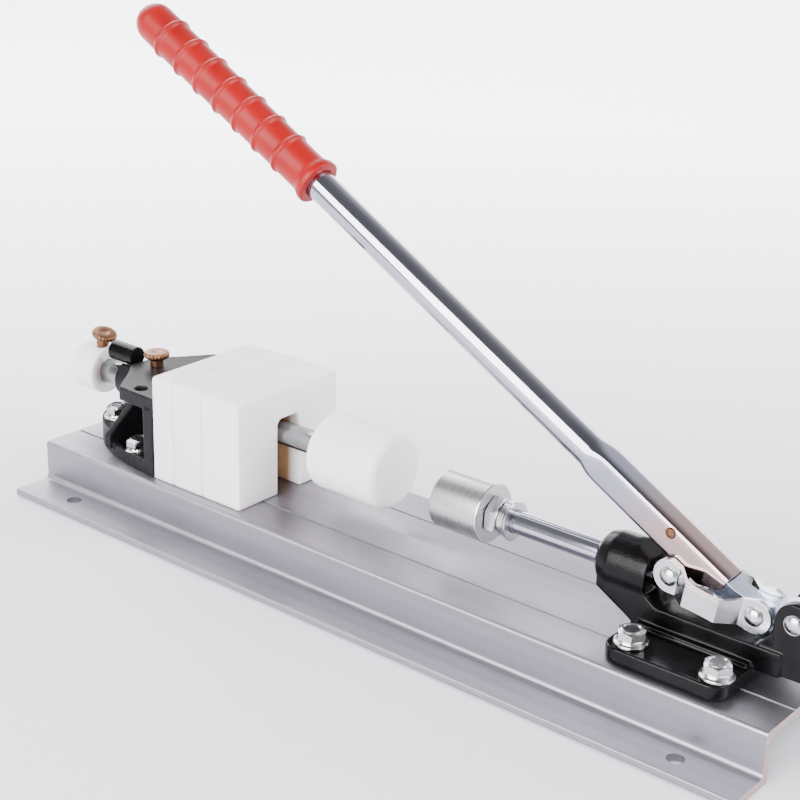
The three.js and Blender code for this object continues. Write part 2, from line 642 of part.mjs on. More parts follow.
place(press, 'rail', rail(), MATERIALS.aluminium);
place(press, 'end_bracket', endBracket(), MATERIALS.castBlack);
place(press, 'bracket_barrel', bracketBarrel(), MATERIALS.castBlack);
place(press, 'bracket_thumb_screw', bracketScrew(), MATERIALS.brass);
place(press, 'clamp_body', clampBody(), MATERIALS.glossBlack);

for (const kind of ['bracket_bolt', 'clamp_bolt']) {
  const places = boltPlaces().filter(({ name }) => name === kind);
  places.forEach((at, i) => {
    place(press, `${kind}_${i + 1}`, flangeBolt(at), MATERIALS.zinc);
    place(press, `${kind.replace('bolt', 'nut')}_${i + 1}`, flangeNut(at), MATERIALS.zinc);
  });
}

for (let i = 0; i < BLOCK_FACES.length - 1; i += 1) {
  place(press, `spacer_block_${i + 1}`, spacerBlock(BLOCK_FACES[i], BLOCK_FACES[i + 1]), MATERIALS.nylon);
}

place(press, 'push_rod', pushRod(), MATERIALS.zinc);
place(press, 'rod_stop_pin', stopPin(), MATERIALS.zinc);
place(press, 'push_head', pushHead(), MATERIALS.nylon);
place(press, 'push_cap', pushCap(), MATERIALS.nylon);
place(press, 'cap_thumb_screw', capScrew(), MATERIALS.brass);

place(press, 'plunger', plunger(), MATERIALS.chrome);
place(press, 'pressure_head', pressureHead(), MATERIALS.aluminium);
place(press, 'head_jam_nut', plungerRing(hexRadius(19), 59.4, 66.4, 6), MATERIALS.zinc);
place(press, 'plunger_collar', plungerRing(9.6, 66.8, 71.6, 24), MATERIALS.zinc);
place(press, 'plunger_washer', plungerRing(10.8, 72, 73.4, 24), MATERIALS.zinc);
place(press, 'handle_pivot_pin', pivotPin(PIVOT, LUG.outer), MATERIALS.zinc);

const linkGroup = new THREE.Group();
linkGroup.position.set(DRIVE_PIVOT.x, 0, DRIVE_PIVOT.z);
linkGroup.rotation.y = Math.atan2(DRIVE_PIVOT.z - LINK_PIVOT.z, LINK_PIVOT.x - DRIVE_PIVOT.x);
press.add(linkGroup);
const drivePin = pivotPin({ x: 0, z: 0 }, LINK.driveEnd + LINK.thickness);
const linkPin = pivotPin({ x: LINK_REACH, z: 0 }, LINK.leverEnd + LINK.thickness);
place(linkGroup, 'link_near', link(-1), MATERIALS.zinc);
place(linkGroup, 'link_far', link(1), MATERIALS.zinc);
place(linkGroup, 'drive_pin', drivePin, MATERIALS.zinc);
place(linkGroup, 'link_pin', linkPin, MATERIALS.zinc);

const handle = new THREE.Group();
handle.position.set(PIVOT.x, 0, PIVOT.z);
handle.rotation.y = HANDLE_ANGLE;
press.add(handle);
place(handle, 'lever', lever(), MATERIALS.lever);
place(handle, 'handle_tube', handleTube(), MATERIALS.chrome);
place(handle, 'handle_rivet', handleRivet(), MATERIALS.brass);
place(handle, 'handle_grip', handleGrip(), MATERIALS.vinyl);

export default press;
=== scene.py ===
"""Looks of the hand-lever toggle press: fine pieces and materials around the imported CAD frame.

Metres in the row frame: +X along the rail towards the toggle clamp, +Z up, Z = 0 under the feet.
Lengths written in millimetres are multiplied by MM where a mesh is made.
"""

import math

import bmesh
import bpy
from mathutils import Matrix, Vector

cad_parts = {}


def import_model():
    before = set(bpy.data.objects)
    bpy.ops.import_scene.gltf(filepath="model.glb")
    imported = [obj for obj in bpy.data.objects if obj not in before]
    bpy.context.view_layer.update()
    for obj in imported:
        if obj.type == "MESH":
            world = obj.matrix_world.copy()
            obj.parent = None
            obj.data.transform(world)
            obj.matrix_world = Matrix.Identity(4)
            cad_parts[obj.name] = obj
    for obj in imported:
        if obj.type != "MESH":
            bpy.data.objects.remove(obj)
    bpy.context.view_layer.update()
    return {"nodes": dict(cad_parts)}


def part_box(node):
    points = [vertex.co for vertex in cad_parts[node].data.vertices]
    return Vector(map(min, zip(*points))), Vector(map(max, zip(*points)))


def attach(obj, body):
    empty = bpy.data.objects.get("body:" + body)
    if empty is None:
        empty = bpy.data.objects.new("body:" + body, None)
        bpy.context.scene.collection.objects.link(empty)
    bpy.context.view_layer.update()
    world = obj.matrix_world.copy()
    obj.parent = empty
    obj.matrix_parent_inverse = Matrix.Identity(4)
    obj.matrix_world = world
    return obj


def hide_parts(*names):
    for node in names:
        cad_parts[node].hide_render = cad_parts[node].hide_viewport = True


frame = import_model()

MM = 0.001
FINE = 96                     # facets around a large turned piece
SMALL = 48                    # facets around a small one
HANDLE_ANGLE = math.radians(29.4)
PLUNGER_BORE = 6.65           # bore of the pieces that sit on the plunger
ROD_BORE = 7.3                # blind bore of the nylon pieces on the push rod
PUSH_HEAD_RADIUS = 22
PUSH_CAP_RADIUS = 15
STOP_PIN = {"radius": 1.8, "half_length": 7.5}
COLLAR_RADIUS = 9.6
WASHER_RADIUS = 10.8
CAP_SCREW = {"x": -250, "z": 80, "tilt": math.radians(18), "hole": 3.3, "stem": -8.2}   # x from mid rail


# ---------------------------------------------------------------- places read from the frame, mm

def low(node):
    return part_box(node)[0] / MM


def high(node):
    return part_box(node)[1] / MM


def middle(node):
    return (low(node) + high(node)) / 2


PIVOT = middle("handle_pivot_pin")
ROD_AXIS = middle("push_rod")
PLUNGER_AXIS = middle("pressure_head")
AXES = {"x": Vector((1, 0, 0)), "y": Vector((0, 1, 0)), "z": Vector((0, 0, 1))}


# ---------------------------------------------------------------- meshes

def object_from(name, build):
    mesh = bpy.data.meshes.new(name)
    bmesh.ops.recalc_face_normals(build, faces=build.faces)
    build.to_mesh(mesh)
    build.free()
    piece = bpy.data.objects.new(name, mesh)
    bpy.context.scene.collection.objects.link(piece)
    return piece


def applied(piece):
    """The piece with its modifiers worked into its mesh."""
    graph = bpy.context.evaluated_depsgraph_get()
    mesh = bpy.data.meshes.new_from_object(piece.evaluated_get(graph))
    piece.modifiers.clear()
    piece.data = mesh
    return piece


def combined(piece, tool, operation):
    modifier = piece.modifiers.new("shape", "BOOLEAN")
    modifier.operation = operation
    modifier.solver = "EXACT"
    modifier.object = tool
    applied(piece)
    bpy.data.objects.remove(tool)
    return piece


def cut(piece, *tools):
    for tool in tools:
        combined(piece, tool, "DIFFERENCE")
    return piece


def joined(piece, *others):
    for other in others:
        combined(piece, other, "UNION")
    return piece


def softened(piece, width, segments=2, angle=30):
    """Rounds every edge sharper than angle by width mm."""
    modifier = piece.modifiers.new("edges", "BEVEL")
    modifier.width = width * MM
    modifier.segments = segments
    modifier.limit_method = "ANGLE"
    modifier.angle_limit = math.radians(angle)
    modifier.use_clamp_overlap = True
    return applied(piece)


def shaded(piece, angle=32):
    piece.data.shade_smooth()
    piece.data.set_sharp_from_angle(angle=math.radians(angle))
    weighted = piece.modifiers.new("normals", "WEIGHTED_NORMAL")
    weighted.keep_sharp = True
    return applied(piece)


def turned(name, profile, origin, axis, facets=FINE, closed=False):
    """Turns [along, radius] pairs in mm about axis through origin; closed makes a ring."""
    build = bmesh.new()
    lean = AXES["z"].rotation_difference(axis)
    rings = []
    for along, radius in profile:
        count = facets if radius > 0 else 1
        ring = []
        for i in range(count):
            turn = 2 * math.pi * i / facets
            point = Vector((radius * math.cos(turn), radius * math.sin(turn), along))
            ring.append(build.verts.new((origin + lean @ point) * MM))
        rings.append(ring)
    pairs = list(zip(rings, rings[1:]))
    if closed:
        pairs.append((rings[-1], rings[0]))
    for a, b in pairs:
        for i in range(facets):
            j = (i + 1) % facets
            corners = [a[i % len(a)], a[j % len(a)], b[j % len(b)], b[i % len(b)]]
            face = list(dict.fromkeys(corners))
            if len(face) > 2:
                build.faces.new(face)
    return object_from(name, build)


def rod(name, radius, start, end, origin, axis, facets=SMALL):
    return turned(name, [(start, 0), (start, radius), (end, radius), (end, 0)], origin, axis, facets)


def rounded(corners, steps=6):
    """An outline through (a, b, radius) corners, each turned by an arc of its radius."""
    points = []
    for i, (a, b, radius) in enumerate(corners):
        here = Vector((a, b))
        if radius == 0:
            points.append(here)
            continue
        to_last = (Vector(corners[i - 1][:2]) - here).normalized()
        to_next = (Vector(corners[(i + 1) % len(corners)][:2]) - here).normalized()
        half = to_last.angle(to_next) / 2
        centre = here + (to_last + to_next).normalized() * (radius / math.sin(half))
        start = here + to_last * (radius / math.tan(half)) - centre
        sweep = start.angle_signed(here + to_next * (radius / math.tan(half)) - centre)
        for step in range(steps + 1):
            turn = Matrix.Rotation(-sweep * step / steps, 2)
            points.append(centre + turn @ start)
    return points


def extruded(name, outline, along, start, end):
    """Runs an outline along x from (y, z), along y from (x, z), or along z from (x, y)."""
    places = {
        "x": lambda p, d: (d, p[0], p[1]),
        "y": lambda p, d: (p[0], d, p[1]),
        "z": lambda p, d: (p[0], p[1], d),
    }
    build = bmesh.new()
    ends = [[build.verts.new(Vector(places[along](p, d)) * MM) for p in outline] for d in (start, end)]
    for ring in ends:
        build.faces.new(ring)
    count = len(outline)
    for i in range(count):
        j = (i + 1) % count
        build.faces.new([ends[0][i], ends[0][j], ends[1][j], ends[1][i]])
    return object_from(name, build)


def copy_of(node, name):
    """The CAD node's own mesh as a new piece, its flat faces whole again."""
    build = bmesh.new()
    build.from_mesh(frame["nodes"][node].data)
    bmesh.ops.remove_doubles(build, verts=build.verts, dist=1e-6)
    bmesh.ops.dissolve_limit(build, angle_limit=math.radians(1), verts=build.verts, edges=build.edges)
    return object_from(name, build)


def cast(node, name, grain, rounds):
    """The CAD node as a casting: its corners flow into each other."""
    piece = copy_of(node, name)
    remesh = piece.modifiers.new("skin", "REMESH")
    remesh.mode = "VOXEL"
    remesh.voxel_size = grain * MM
    applied(piece)
    smooth = piece.modifiers.new("flow", "SMOOTH")
    smooth.iterations = rounds
    smooth.factor = 0.5
    applied(piece)
    piece.data.shade_smooth()
    return piece


def hexagon(name, across_flats, start, end, origin, axis, chamfer_both=False):
    """A hexagon bar with the round chamfer of a nut or bolt head at its end."""
    corner = across_flats / math.sqrt(3)
    bar = turned(name, [(start, 0), (start, corner), (end, corner), (end, 0)], origin, axis, 6)
    flat = across_flats / 2
    first = [(start - 1, 0)]
    second = [(start - 1, corner + 0.3)]
    if chamfer_both:
        first += [(start - 1, flat - 0.4), (start, flat - 0.2)]
        second = [(start + 1.1, corner + 0.3)]
    limit = turned("limit", first + second + [(end - 1.3, corner + 0.3), (end, flat - 0.6), (end + 1, 0)],
                   origin, axis, SMALL)
    return combined(bar, limit, "INTERSECT")


# ---------------------------------------------------------------- materials

class Surface:
    """A Principled material with helpers that wire procedural detail into it."""

    def __init__(self, name, **sockets):
        self.material = bpy.data.materials.new(name)
        self.material.use_nodes = True
        self.tree = self.material.node_tree
        self.shader = self.tree.nodes["Principled BSDF"]
        for socket, value in sockets.items():
            self.shader.inputs[socket.replace("_", " ")].default_value = value
        self.place = self.add("ShaderNodeTexCoord").outputs["Object"]

    def add(self, kind, inputs=None, **settings):
        node = self.tree.nodes.new(kind)
        for setting, value in settings.items():
            setattr(node, setting, value)
        for socket, value in (inputs or {}).items():
            if isinstance(value, bpy.types.NodeSocket):
                self.tree.links.new(value, node.inputs[socket])
            else:
                node.inputs[socket].default_value = value
        return node

    def stretched(self, scale):
        return self.add("ShaderNodeMapping", {"Vector": self.place, "Scale": scale}).outputs[0]

    def noise(self, scale, detail=3.0, stretch=None):
        vector = self.stretched(stretch) if stretch else self.place
        node = self.add("ShaderNodeTexNoise", {"Vector": vector, "Scale": scale, "Detail": detail})
        return node.outputs["Fac"]

    def turned_place(self, origin, axis):
        """(along, radius) of a turned piece, so that tool marks run round its axis."""
        offset = self.add("ShaderNodeVectorMath", {0: self.place, 1: origin}, operation="SUBTRACT").outputs[0]
        along = self.add("ShaderNodeVectorMath", {0: offset, 1: axis},
                         operation="DOT_PRODUCT").outputs["Value"]
        on_axis = self.add("ShaderNodeVectorMath", {0: axis, "Scale": along}, operation="SCALE").outputs[0]
        out = self.add("ShaderNodeVectorMath", {0: offset, 1: on_axis}, operation="SUBTRACT").outputs[0]
        radius = self.add("ShaderNodeVectorMath", {0: out}, operation="LENGTH").outputs["Value"]
        return self.add("ShaderNodeCombineXYZ", {0: along, 1: radius}).outputs[0]

    def ranged(self, value, low_value, high_value, start=0.3, end=0.7):
        node = self.add("ShaderNodeMapRange", {0: value, 1: start, 2: end, 3: low_value, 4: high_value})
        return node.outputs[0]

    def mixed(self, factor, first, second):
        node = self.add("ShaderNodeMix", {0: factor, 6: first, 7: second}, data_type="RGBA")
        return node.outputs[2]

    def blended(self, pattern, first, second):
        """Runs from the first colour to the second over the middle of a noise pattern's range."""
        return self.mixed(self.ranged(pattern, 0.0, 1.0), first, second)

    def sum(self, a, b):
        return self.add("ShaderNodeMath", {0: a, 1: b}, operation="ADD").outputs[0]

    def use(self, socket, value):
        self.tree.links.new(value, self.shader.inputs[socket])

    def bump(self, height, strength, depth_mm):
        node = self.add("ShaderNodeBump", {"Height": height, "Strength": strength, "Distance": depth_mm * MM})
        self.use("Normal", node.outputs[0])


def colour(r, g, b):
    return (r, g, b, 1.0)


def rail_aluminium():
    s = Surface("extruded aluminium", Metallic=1.0, Anisotropic=0.5)
    lines = s.noise(1.0, 4.0, (6, 1400, 1400))
    bands = s.noise(1.0, 2.0, (1.5, 160, 160))
    haze = s.noise(22.0, 3.0)
    skin = s.blended(bands, colour(0.31, 0.305, 0.34), colour(0.365, 0.355, 0.395))
    across = s.add("ShaderNodeSeparateXYZ", {0: s.place}).outputs[0]
    centred = s.add("ShaderNodeMath", {0: across, 1: middle("rail").x * MM}, operation="SUBTRACT").outputs[0]
    from_middle = s.add("ShaderNodeMath", {0: centred}, operation="ABSOLUTE").outputs[0]
    sawn = s.ranged(from_middle, 0.0, 1.0, RAIL_END * MM - 0.0004, RAIL_END * MM - 0.0002)
    saw_marks = s.noise(1.0, 3.0, (10, 90, 900))
    end_skin = s.blended(saw_marks, colour(0.42, 0.30, 0.27), colour(0.60, 0.50, 0.47))
    s.use("Base Color", s.mixed(sawn, skin, end_skin))
    s.use("Roughness", s.sum(s.ranged(lines, -0.04, 0.05), s.ranged(haze, 0.40, 0.50)))
    s.bump(s.sum(lines, s.ranged(bands, 0.0, 0.5)), 0.14, 0.05)
    return s.material


def turned_aluminium(origin, axis):
    s = Surface("turned aluminium", Metallic=1.0)
    place = s.turned_place(origin, axis)
    rings = s.add("ShaderNodeTexNoise", {"Vector": place, "Scale": 2600.0, "Detail": 2.0}).outputs["Fac"]
    wide = s.add("ShaderNodeTexNoise", {"Vector": place, "Scale": 260.0, "Detail": 2.0}).outputs["Fac"]
    s.use("Base Color", s.blended(wide, colour(0.50, 0.50, 0.50), colour(0.58, 0.58, 0.575)))
    s.use("Roughness", s.ranged(rings, 0.26, 0.31))
    s.bump(rings, 0.05, 0.02)
    return s.material


def painted_casting(name, paint, rough, grain_strength):
    s = Surface(name, Metallic=0.0, Specular_IOR_Level=0.16)
    grain = s.noise(900.0, 4.0)
    waves = s.noise(110.0, 2.0)
    dust = s.noise(60.0, 5.0)
    lighter = tuple(c * 1.5 + 0.004 for c in paint[:3]) + (1.0,)
    s.use("Base Color", s.blended(dust, paint, lighter))
    s.use("Roughness", s.ranged(grain, rough - 0.04, rough + 0.06))
    s.bump(s.sum(s.ranged(grain, 0.0, 0.35), waves), grain_strength, 0.35)
    return s.material


def plated(name, tint, rough_low, rough_high, grain=500.0):
    s = Surface(name, Metallic=1.0)
    clouds = s.noise(70.0, 3.0)
    specks = s.noise(grain, 3.0)
    deeper = tuple(c * 0.88 for c in tint[:3]) + (1.0,)
    s.use("Base Color", s.blended(clouds, tint, deeper))
    s.use("Roughness", s.ranged(specks, rough_low, rough_high))
    s.bump(s.sum(specks, clouds), 0.08, 0.06)
    return s.material


def chrome(name, stations=()):
    """Mirror plating; each (from, to, tint) station turns the skin to its tint between two points, as a
    painted reflection colour.
    """
    s = Surface(name, Metallic=1.0)
    haze = s.noise(45.0, 3.0)
    drawn = s.noise(1.0, 2.0, (30, 900, 900))
    skin = s.blended(haze, colour(0.50, 0.50, 0.57), colour(0.45, 0.45, 0.53))
    for start, end, tint in stations:
        run = (end - start) * MM
        offset = s.add("ShaderNodeVectorMath", {0: s.place, 1: start * MM}, operation="SUBTRACT").outputs[0]
        along = s.add("ShaderNodeVectorMath", {0: offset, 1: run / run.length_squared},
                      operation="DOT_PRODUCT").outputs["Value"]
        skin = s.mixed(s.ranged(along, 0.0, 1.0, 0.0, 1.0), skin, tint)
    s.use("Base Color", skin)
    s.use("Roughness", s.ranged(drawn, 0.05, 0.10))
    s.bump(drawn, 0.02, 0.02)
    return s.material


def ground_steel(origin, axis):
    s = Surface("ground steel", Metallic=1.0)
    place = s.turned_place(origin, axis)
    marks = s.add("ShaderNodeTexNoise", {"Vector": place, "Scale": 3000.0, "Detail": 2.0}).outputs["Fac"]
    clouds = s.noise(60.0, 3.0)
    s.use("Base Color", s.blended(clouds, colour(0.36, 0.37, 0.385), colour(0.30, 0.31, 0.325)))
    s.use("Roughness", s.ranged(marks, 0.16, 0.28))
    s.bump(marks, 0.1, 0.02)
    return s.material


def nylon(name, notch_shade):
    s = Surface(name, Metallic=0.0, Subsurface_Weight=0.6, Subsurface_Scale=0.006, Specular_IOR_Level=0.3)
    s.shader.inputs["Subsurface Radius"].default_value = (1.0, 0.72, 0.62)
    clouds = s.noise(28.0, 4.0)
    milled = s.noise(1.0, 3.0, (500, 60, 900))
    body = s.blended(clouds, colour(0.96, 0.885, 0.885), colour(0.985, 0.93, 0.935))
    if notch_shade:
        # Painted shade: more than about 6 to 10 mm behind block 3's front face, the notch walls turn a warm
        # tan. This stands in for the shade inside the notch, warmed by light through the nylon.
        axes = s.add("ShaderNodeSeparateXYZ", {0: s.place})
        side = s.add("ShaderNodeMath", {0: axes.outputs[1]}, operation="ABSOLUTE").outputs[0]
        near = s.ranged(side, 1.0, 0.0, NOTCH_HALF_WIDTH * MM + 0.0001, NOTCH_HALF_WIDTH * MM + 0.0005)
        below = s.ranged(axes.outputs[2], 1.0, 0.0, NOTCH_TOP * MM + 0.0001, NOTCH_TOP * MM + 0.0005)
        front = high("spacer_block_3").x * MM
        deep = s.ranged(axes.outputs[0], 1.0, 0.0, front - 0.010, front - 0.006)
        notch = s.add("ShaderNodeMath", {0: near, 1: below}, operation="MULTIPLY").outputs[0]
        shaded_depth = s.add("ShaderNodeMath", {0: notch, 1: deep}, operation="MULTIPLY").outputs[0]
        tan = s.blended(milled, colour(0.66, 0.42, 0.22), colour(0.76, 0.52, 0.30))
        body = s.mixed(shaded_depth, body, tan)
    s.use("Base Color", body)
    s.use("Roughness", s.ranged(milled, 0.42, 0.56))
    s.bump(s.sum(milled, clouds), 0.12, 0.08)
    return s.material


def brass():
    s = Surface("satin brass", Metallic=1.0)
    clouds = s.noise(160.0, 3.0)
    marks = s.noise(1500.0, 2.0)
    s.use("Base Color", s.blended(clouds, colour(0.17, 0.078, 0.038), colour(0.22, 0.112, 0.06)))
    s.use("Roughness", s.ranged(marks, 0.26, 0.40))
    s.bump(marks, 0.12, 0.03)
    return s.material


def vinyl():
    s = Surface("dipped vinyl", Metallic=0.0, Specular_IOR_Level=0.3)
    clouds = s.noise(40.0, 3.0)
    grain = s.noise(1100.0, 3.0)
    s.use("Base Color", s.blended(clouds, colour(0.25, 0.0006, 0.001), colour(0.30, 0.0012, 0.0018)))
    s.use("Roughness", s.ranged(grain, 0.36, 0.48))
    s.bump(grain, 0.14, 0.05)
    return s.material


def floor_paper():
    s = Surface("studio floor", Metallic=0.0)
    fibres = s.noise(90.0, 4.0)
    s.use("Base Color", s.blended(fibres, colour(0.815, 0.80, 0.86), colour(0.83, 0.815, 0.875)))
    s.use("Roughness", s.ranged(fibres, 0.50, 0.58))
    # Painted light: the floor glows by emission, more strongly towards the back, standing in for lamp light
    # falling across it.
    behind = Vector((-0.6, 0.8, 0))
    away = s.add("ShaderNodeVectorMath", {0: s.place, 1: behind}, operation="DOT_PRODUCT").outputs["Value"]
    s.shader.inputs["Emission Color"].default_value = colour(0.955, 0.94, 1.0)
    s.use("Emission Strength", s.ranged(away, 0.0, 4.4, 0.05, 1.2))
    return s.material


# ---------------------------------------------------------------- putting a piece in place

def placed(piece, material, slot, body, *nodes):
    """Gives the piece its material and body and hides the CAD nodes that it stands for; the slot is not used.
    """
    piece.data.materials.clear()
    piece.data.materials.append(material)
    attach(piece, body)
    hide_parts(*nodes)


# ---------------------------------------------------------------- rail

RAIL_END = 250
RAIL_WALL = 4
GROOVE_Y = 22
FOOT_HOLES = [(sx * 211.5, sy * 60) for sx in (-1, 1) for sy in (-1, 1)]
NOTCH_HALF_WIDTH = 9.2
NOTCH_TOP = 75


def rail_outline():
    foot = high("rail").y
    top = 48
    height = high("rail").z
    under = height - RAIL_WALL

    def groove(y):
        return [(y + 0.8, height, 0.15), (y + 0.6, height - 0.9, 0.1), (y - 0.6, height - 0.9, 0.1),
                (y - 0.8, height, 0.15)]

    half = [(foot, 0, 0.4), (foot, RAIL_WALL, 0.8), (top, RAIL_WALL, 3.0), (top, height, 2.2)]
    inner = [(top - RAIL_WALL, under, 1.2), (top - RAIL_WALL, 0, 0.4)]
    mirror = [(-a, b, r) for a, b, r in reversed(half)]
    inner_left = [(-a, b, r) for a, b, r in reversed(inner)]
    return rounded(half + groove(GROOVE_Y) + groove(-GROOVE_Y) + mirror + inner_left + inner)


def rail_piece():
    centre = middle("rail").x
    rail = extruded("rail_extrusion", rail_outline(), "x", centre - RAIL_END, centre + RAIL_END)
    for x, y in FOOT_HOLES:
        rail = cut(rail, rod("hole", 4.5, -2, 8, Vector((centre + x, y, 0)), AXES["z"]))
    return shaded(rail, 28)


def bolt_names():
    return [f"{kind}_bolt_{i}" for kind in ("bracket", "clamp") for i in (1, 2, 3, 4)]


def flange_bolt(node):
    """Hexagon head with a washer face and a cone flange, on its shank."""
    at = middle(node)
    foot = high(node).z - 8.2
    axis_point = Vector((at.x, at.y, foot))
    skirt = [(0, 0), (0, 8.6), (0.2, 8.8), (1.0, 8.8), (1.3, 8.6), (1.9, 7.6), (3.0, 7.1), (3.0, 0)]
    flange = turned(f"{node}_fine", skirt, axis_point, AXES["z"], SMALL)
    head = hexagon("head", 13, 1.0, 7.6, axis_point, AXES["z"])
    dish = [(7, 0), (7, 5.6), (7.8, 5.5), (8.2, 5.0), (8.2, 4.5), (7.7, 3.7), (7.6, 0)]
    dome = turned("dome", dish, axis_point, AXES["z"], SMALL)
    shank = rod("shank", 4, low(node).z - foot, 1, axis_point, AXES["z"])
    bolt = joined(flange, head, dome, shank)
    return shaded(softened(bolt, 0.25, 2, 25), 40)


def flange_nut(node):
    at = middle(node)
    seat = high(node).z
    axis_point = Vector((at.x, at.y, seat))
    flange = turned(f"{node}_fine", [(-1.8, 0), (-1.8, 8.2), (-1.4, 8.6), (0, 8.6), (0, 0)],
                    axis_point, AXES["z"], SMALL)
    head = hexagon("head", 13, 1.0, 8.0, axis_point, -AXES["z"])
    nut = cut(joined(flange, head), rod("bore", 4.3, -12, 4, axis_point, AXES["z"]))
    return shaded(softened(nut, 0.2, 2, 25), 40)


# ---------------------------------------------------------------- nylon pieces and the push rod

def spacer_block(node):
    lo, hi = low(node), high(node)
    half = hi.y
    slot = NOTCH_HALF_WIDTH
    corner = 2.5
    outline = rounded([
        (-half, lo.z, 0), (-slot, lo.z, 0), (-slot, NOTCH_TOP, 4), (slot, NOTCH_TOP, 4), (slot, lo.z, 0),
        (half, lo.z, 0), (half, hi.z, corner), (-half, hi.z, corner),
    ], 8)
    block = extruded(f"{node}_fine", outline, "x", lo.x, hi.x)
    return shaded(softened(block, 1.0, 3, 40), 40)


def soft_disc(name, node, radius, edge, bore, bore_from, bore_to, facets=FINE):
    """A turned nylon piece with rounded rims and a blind bore for the rod."""
    lo, hi = low(node), high(node)
    rim = [(edge * (1 - math.cos(t)), radius - edge * (1 - math.sin(t)))
           for t in (math.pi / 2 * i / 6 for i in range(7))]
    length = hi.x - lo.x
    profile = [(0, 0)] + rim + [(length - a, r) for a, r in reversed(rim)] + [(length, 0)]
    start = Vector((lo.x, ROD_AXIS.y, ROD_AXIS.z))
    disc = turned(name, profile, start, AXES["x"], facets)
    axis_point = Vector((0, ROD_AXIS.y, ROD_AXIS.z))
    return shaded(cut(disc, rod("bore", bore, bore_from, bore_to, axis_point, AXES["x"])), 35)


def push_rod():
    lo, hi = low("push_rod"), high("push_rod")
    radius = (hi.z - lo.z) / 2
    start = Vector((lo.x, ROD_AXIS.y, ROD_AXIS.z))
    length = hi.x - lo.x
    profile = [(0, 0), (0, radius - 1), (1, radius), (length - 1, radius), (length, radius - 1), (length, 0)]
    body = turned("push_rod_fine", profile, start, AXES["x"], FINE)
    hole = rod("hole", 2.1, -30, 30, middle("rod_stop_pin"), AXES["z"])
    return shaded(cut(body, hole), 32)


def thumb_screw(name, seat, axis, stem_bottom):
    """Wide head with a fluted rim over a neck and a plain stem."""
    profile = [(stem_bottom, 0), (stem_bottom, 2.8), (stem_bottom + 0.3, 3), (0.4, 3), (0.5, 4), (4.1, 4.1),
               (4.6, 4.7), (5.8, 7.3), (6.2, 7.7), (6.8, 7.9), (8.2, 7.9), (8.8, 7.6), (9.3, 6.8),
               (9.4, 3.4), (9.1, 2.6), (9.1, 0)]
    screw = turned(name, profile, seat, axis, 120)
    for vertex in screw.data.vertices:
        offset = vertex.co / MM - seat
        along = offset.dot(axis)
        out = offset - axis * along
        if out.length > 7.2:
            side = axis.orthogonal().normalized()
            turn = math.atan2(out.dot(axis.cross(side)), out.dot(side))
            vertex.co -= out.normalized() * (0.22 - 0.22 * math.cos(24 * turn)) * MM
    return shaded(screw, 40)


# ---------------------------------------------------------------- plunger line

def plunger():
    lo, hi = low("plunger"), high("plunger")
    radius = (hi.y - lo.y) / 2
    drive = middle("drive_pin")
    at = Vector((0, 0, PLUNGER_AXIS.z))
    profile = [(lo.x, 0), (lo.x, radius - 0.8), (lo.x + 0.8, radius), (hi.x, radius), (hi.x, 0)]
    bar = turned("plunger_fine", profile, at, AXES["x"], FINE)
    top = drive.z - 1.5
    hook = extruded("hook", [(drive.x + 1, PLUNGER_AXIS.z), (hi.x - 1, PLUNGER_AXIS.z),
                             (hi.x - 1, top), (drive.x + 1, top)], "y", -5, 5)
    seat_floor = drive.z - 3.5
    seat = extruded("seat", [(drive.x - 16, seat_floor), (drive.x, seat_floor),
                             (drive.x, drive.z + 20), (drive.x - 16, drive.z + 20)], "y", -10, 10)
    pin = rod("pin", 3.5, -20, 20, drive, AXES["y"])
    return shaded(cut(joined(bar, hook), seat, pin), 30)


def pressure_head():
    lo, hi = low("pressure_head"), high("pressure_head")
    radius = (hi.y - lo.y) / 2
    length = hi.x - lo.x
    bore = PLUNGER_BORE
    profile = [(0, 0), (0, radius - 1.1), (0.3, radius - 0.4), (1.1, radius), (length - 1.1, radius),
               (length - 0.3, radius - 0.4), (length, radius - 1.1), (length, bore + 1.0),
               (length - 0.6, bore), (8.2, bore), (8.2, 0)]
    start = Vector((lo.x, 0, PLUNGER_AXIS.z))
    return shaded(turned("pressure_head_fine", profile, start, AXES["x"], FINE), 30)


def plunger_ring(node, radius):
    lo, hi = low(node), high(node)
    length = hi.x - lo.x
    edge = min(0.8, length / 4)
    profile = [(0, PLUNGER_BORE), (0, radius - edge), (edge, radius), (length - edge, radius),
               (length, radius - edge), (length, PLUNGER_BORE)]
    start = Vector((lo.x, 0, PLUNGER_AXIS.z))
    return shaded(turned(f"{node}_fine", profile, start, AXES["x"], FINE, closed=True), 32)


def jam_nut():
    lo, hi = low("head_jam_nut"), high("head_jam_nut")
    start = Vector((lo.x, 0, PLUNGER_AXIS.z))
    nut = hexagon("head_jam_nut_fine", 19, 0, hi.x - lo.x, start, AXES["x"], True)
    return shaded(softened(cut(nut, rod("bore", 6.65, -2, 20, start, AXES["x"], FINE)), 0.25, 2, 25), 38)


# ---------------------------------------------------------------- pins and links

def domed_pin(node):
    lo, hi = low(node), high(node)
    at = middle(node)
    half = (hi.y - lo.y) / 2
    shank = half - 2.6 + 0.3
    head = (hi.z - lo.z) / 2
    cap = [(half - 2.6 * (1 - math.cos(t)) ** 0.9, head * math.sin(t) * 0.985)
           for t in (math.pi / 2 * i / 8 for i in range(9))]
    cap[-1] = (shank + 0.4, head)
    side = [(a, r) for a, r in reversed(cap)]
    profile = [(-a, r) for a, r in cap] + [(-shank, head), (-shank, 3.2), (shank, 3.2), (shank, head)] + side
    return shaded(turned(f"{node}_fine", profile, at, AXES["y"], SMALL), 38)


def softened_copy(node, width, segments=2, angle=28):
    return shaded(softened(copy_of(node, f"{node}_fine"), width, segments, angle), 36)


# ---------------------------------------------------------------- handle, x along it towards the pivot

